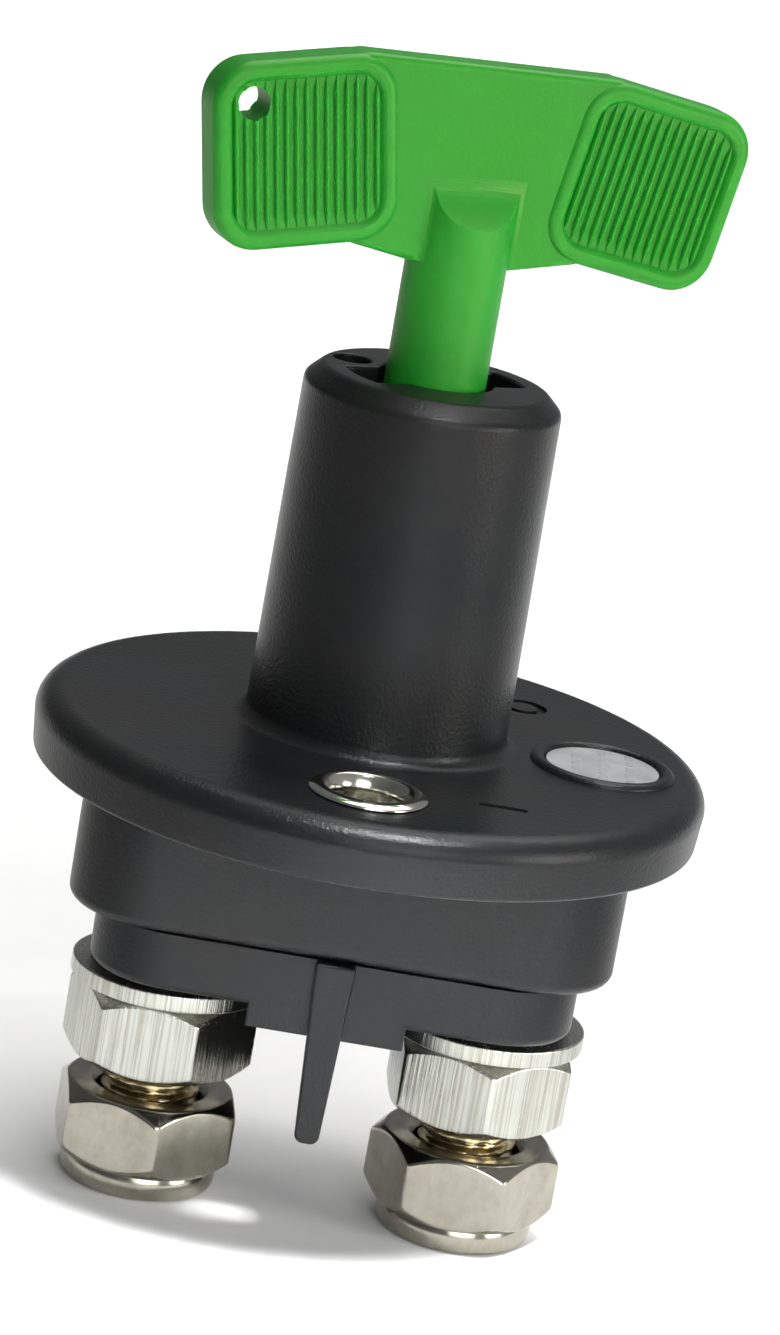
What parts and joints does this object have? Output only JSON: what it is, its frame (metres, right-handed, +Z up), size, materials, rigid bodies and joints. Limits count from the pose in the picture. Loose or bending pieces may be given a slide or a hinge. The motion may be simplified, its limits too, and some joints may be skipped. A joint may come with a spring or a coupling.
{
  "type": "battery switch",
  "caption": "Panel-mounted battery isolator with a round flange, threaded stud terminals, a barrier between them and a removable T-handled key that turns a quarter turn.",
  "frame": {"origin": "on the key's axis, at the height of the lock nuts' bottom faces", "axes": "+Z up along the key's axis; +X from the left terminal stud to the right one; -Y towards the front fixing eyelet"},
  "size_m": [0.067, 0.067, 0.1175],
  "materials": {
    "black_plastic": "fine moulded grain",
    "green_plastic": "satin moulded, ribbed pads",
    "nylon": "natural",
    "rubber": "matte",
    "zinc_plate": "bright zinc plated",
    "stainless_steel": "satin",
    "nickel_plate": "bright nickel plated",
    "plated_brass": "tinned thread",
    "copper": "bare copper",
    "silver_alloy": "silver alloy contact",
    "label_foil": "satin foil",
    "spring_steel": "bare spring wire"
  },
  "bodies": {
    "housing": {"housing": "black_plastic", "terminal_base": "black_plastic", "base_seal": "rubber", "eyelet_front": "nickel_plate", "eyelet_rear": "nickel_plate", "rating_label": "label_foil", "return_spring": "spring_steel", "stud_left": "plated_brass", "stud_seal_left": "rubber", "washer_left": "zinc_plate", "fixing_nut_left": "zinc_plate", "lock_nut_left": "stainless_steel", "lock_insert_left": "nylon", "stud_right": "plated_brass", "stud_seal_right": "rubber", "washer_right": "zinc_plate", "fixing_nut_right": "zinc_plate", "lock_nut_right": "stainless_steel", "lock_insert_right": "nylon"},
    "plunger": {"plunger": "nylon", "plunger_seal": "rubber", "plunger_clip": "spring_steel"},
    "key_seat": {"key_seat": "nylon"},
    "key": {"key": "green_plastic"},
    "bridge": {"contact_bridge": "copper", "contact_pad_left": "silver_alloy", "contact_pad_right": "silver_alloy", "contact_spring": "spring_steel"}
  },
  "joints": [
    {"name": "plunger_press", "type": "slide", "parent": "housing", "child": "plunger", "axis": [0, 0, -1], "range_m": [0, 0.0035], "deforming": ["contact_spring"]},
    {"name": "key_turn", "type": "hinge", "parent": "plunger", "child": "key_seat", "pos_m": [0, 0, 0.068], "axis": [0, 0, 1], "range_deg": [-90, 0]},
    {"name": "key_pull", "type": "slide", "parent": "key_seat", "child": "key", "axis": [0, 0, 1], "range_m": [0, 0.03]},
    {"name": "bridge_press", "type": "slide", "parent": "housing", "child": "bridge", "axis": [0, 0, -1], "range_m": [0, 0.0027], "deforming": ["return_spring"]}
  ],
  "couplings": [
    {"joint": "key_turn", "follows": "plunger_press", "rad_per_m": -448.79},
    {"joint": "bridge_press", "follows": "plunger_press", "ratio": 0.7714}
  ]
}
